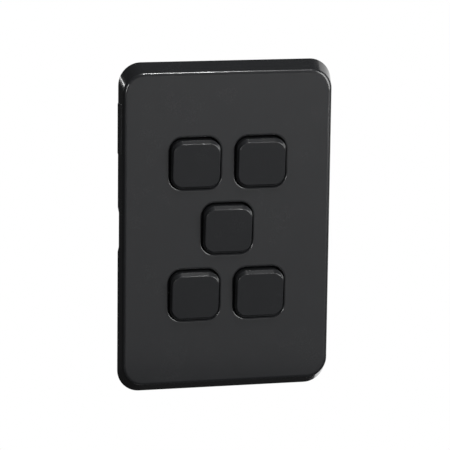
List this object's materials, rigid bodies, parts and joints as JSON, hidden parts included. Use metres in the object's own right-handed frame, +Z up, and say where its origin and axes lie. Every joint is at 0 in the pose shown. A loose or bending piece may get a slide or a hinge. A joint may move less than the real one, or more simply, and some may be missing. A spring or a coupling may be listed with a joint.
{
  "type": "wall switch plate",
  "caption": "Upright wall switch plate with rounded-square rockers in a staggered group, a clip-on flared cover, a screw-fixed grid and two-way switch mechanisms behind it.",
  "frame": {"origin": "on the wall, midway between the two fixing holes, which is also the middle of the cover's rear rim", "axes": "+Z up the wall, +Y into the wall, +X to the right as seen from the room, so the plate faces -Y"},
  "size_m": [0.0776, 0.0265, 0.119],
  "materials": {
    "cover_plastic": "fine matt",
    "rocker_plastic": "fine matt",
    "grid_plastic": "moulded",
    "housing_plastic": "moulded",
    "plunger_plastic": "smooth",
    "spring_steel": "drawn",
    "contact_brass": "stamped",
    "contact_silver": "pressed silver",
    "terminal_brass": "machined",
    "screw_steel": "zinc plated"
  },
  "bodies": {
    "plate": {"cover_plate": "cover_plastic", "grid_frame": "grid_plastic", "housing_top_left": "housing_plastic", "common_terminal_top_left": "terminal_brass", "upper_terminal_top_left": "terminal_brass", "lower_terminal_top_left": "terminal_brass", "fixed_contacts_top_left": "contact_silver", "terminal_screws_top_left": "screw_steel", "housing_top_right": "housing_plastic", "common_terminal_top_right": "terminal_brass", "upper_terminal_top_right": "terminal_brass", "lower_terminal_top_right": "terminal_brass", "fixed_contacts_top_right": "contact_silver", "terminal_screws_top_right": "screw_steel", "housing_centre": "housing_plastic", "common_terminal_centre": "terminal_brass", "upper_terminal_centre": "terminal_brass", "lower_terminal_centre": "terminal_brass", "fixed_contacts_centre": "contact_silver", "terminal_screws_centre": "screw_steel", "housing_bottom_left": "housing_plastic", "common_terminal_bottom_left": "terminal_brass", "upper_terminal_bottom_left": "terminal_brass", "lower_terminal_bottom_left": "terminal_brass", "fixed_contacts_bottom_left": "contact_silver", "terminal_screws_bottom_left": "screw_steel", "housing_bottom_right": "housing_plastic", "common_terminal_bottom_right": "terminal_brass", "upper_terminal_bottom_right": "terminal_brass", "lower_terminal_bottom_right": "terminal_brass", "fixed_contacts_bottom_right": "contact_silver", "terminal_screws_bottom_right": "screw_steel"},
    "rocker_top_left": {"rocker_top_left": "rocker_plastic", "spring_top_left": "spring_steel"},
    "plunger_top_left": {"plunger_top_left": "plunger_plastic"},
    "contact_arm_top_left": {"contact_arm_top_left": "contact_brass", "moving_contacts_top_left": "contact_silver"},
    "rocker_top_right": {"rocker_top_right": "rocker_plastic", "spring_top_right": "spring_steel"},
    "plunger_top_right": {"plunger_top_right": "plunger_plastic"},
    "contact_arm_top_right": {"contact_arm_top_right": "contact_brass", "moving_contacts_top_right": "contact_silver"},
    "rocker_centre": {"rocker_centre": "rocker_plastic", "spring_centre": "spring_steel"},
    "plunger_centre": {"plunger_centre": "plunger_plastic"},
    "contact_arm_centre": {"contact_arm_centre": "contact_brass", "moving_contacts_centre": "contact_silver"},
    "rocker_bottom_left": {"rocker_bottom_left": "rocker_plastic", "spring_bottom_left": "spring_steel"},
    "plunger_bottom_left": {"plunger_bottom_left": "plunger_plastic"},
    "contact_arm_bottom_left": {"contact_arm_bottom_left": "contact_brass", "moving_contacts_bottom_left": "contact_silver"},
    "rocker_bottom_right": {"rocker_bottom_right": "rocker_plastic", "spring_bottom_right": "spring_steel"},
    "plunger_bottom_right": {"plunger_bottom_right": "plunger_plastic"},
    "contact_arm_bottom_right": {"contact_arm_bottom_right": "contact_brass", "moving_contacts_bottom_right": "contact_silver"}
  },
  "joints": [
    {"name": "rocker_top_left_tilt", "type": "hinge", "parent": "plate", "child": "rocker_top_left", "pos_m": [-0.0119, -0.002, 0.0238], "axis": [1, 0, 0], "range_deg": [-9, 0]},
    {"name": "contact_arm_top_left_tilt", "type": "hinge", "parent": "plate", "child": "contact_arm_top_left", "pos_m": [-0.0119, 0.0095, 0.0238], "axis": [1, 0, 0], "range_deg": [0, 13]},
    {"name": "plunger_top_left_slide", "type": "slide", "parent": "rocker_top_left", "child": "plunger_top_left", "axis": [0, 0.9969, 0.0785], "range_m": [-0.0008, 0], "stiffness_N_per_m": 300, "springref_m": 0.002, "deforming": ["spring_top_left"]},
    {"name": "rocker_top_right_tilt", "type": "hinge", "parent": "plate", "child": "rocker_top_right", "pos_m": [0.0119, -0.002, 0.0238], "axis": [1, 0, 0], "range_deg": [-9, 0]},
    {"name": "contact_arm_top_right_tilt", "type": "hinge", "parent": "plate", "child": "contact_arm_top_right", "pos_m": [0.0119, 0.0095, 0.0238], "axis": [1, 0, 0], "range_deg": [0, 13]},
    {"name": "plunger_top_right_slide", "type": "slide", "parent": "rocker_top_right", "child": "plunger_top_right", "axis": [0, 0.9969, 0.0785], "range_m": [-0.0008, 0], "stiffness_N_per_m": 300, "springref_m": 0.002, "deforming": ["spring_top_right"]},
    {"name": "rocker_centre_tilt", "type": "hinge", "parent": "plate", "child": "rocker_centre", "pos_m": [0, -0.002, 0], "axis": [1, 0, 0], "range_deg": [-9, 0]},
    {"name": "contact_arm_centre_tilt", "type": "hinge", "parent": "plate", "child": "contact_arm_centre", "pos_m": [0, 0.0095, 0], "axis": [1, 0, 0], "range_deg": [0, 13]},
    {"name": "plunger_centre_slide", "type": "slide", "parent": "rocker_centre", "child": "plunger_centre", "axis": [0, 0.9969, 0.0785], "range_m": [-0.0008, 0], "stiffness_N_per_m": 300, "springref_m": 0.002, "deforming": ["spring_centre"]},
    {"name": "rocker_bottom_left_tilt", "type": "hinge", "parent": "plate", "child": "rocker_bottom_left", "pos_m": [-0.0119, -0.002, -0.0238], "axis": [1, 0, 0], "range_deg": [-9, 0]},
    {"name": "contact_arm_bottom_left_tilt", "type": "hinge", "parent": "plate", "child": "contact_arm_bottom_left", "pos_m": [-0.0119, 0.0095, -0.0238], "axis": [1, 0, 0], "range_deg": [0, 13]},
    {"name": "plunger_bottom_left_slide", "type": "slide", "parent": "rocker_bottom_left", "child": "plunger_bottom_left", "axis": [0, 0.9969, 0.0785], "range_m": [-0.0008, 0], "stiffness_N_per_m": 300, "springref_m": 0.002, "deforming": ["spring_bottom_left"]},
    {"name": "rocker_bottom_right_tilt", "type": "hinge", "parent": "plate", "child": "rocker_bottom_right", "pos_m": [0.0119, -0.002, -0.0238], "axis": [1, 0, 0], "range_deg": [-9, 0]},
    {"name": "contact_arm_bottom_right_tilt", "type": "hinge", "parent": "plate", "child": "contact_arm_bottom_right", "pos_m": [0.0119, 0.0095, -0.0238], "axis": [1, 0, 0], "range_deg": [0, 13]},
    {"name": "plunger_bottom_right_slide", "type": "slide", "parent": "rocker_bottom_right", "child": "plunger_bottom_right", "axis": [0, 0.9969, 0.0785], "range_m": [-0.0008, 0], "stiffness_N_per_m": 300, "springref_m": 0.002, "deforming": ["spring_bottom_right"]}
  ],
  "couplings": [
    {"joint": "contact_arm_top_left_tilt", "follows": "rocker_top_left_tilt", "ratio": -1.4444},
    {"joint": "contact_arm_top_right_tilt", "follows": "rocker_top_right_tilt", "ratio": -1.4444},
    {"joint": "contact_arm_centre_tilt", "follows": "rocker_centre_tilt", "ratio": -1.4444},
    {"joint": "contact_arm_bottom_left_tilt", "follows": "rocker_bottom_left_tilt", "ratio": -1.4444},
    {"joint": "contact_arm_bottom_right_tilt", "follows": "rocker_bottom_right_tilt", "ratio": -1.4444}
  ]
}
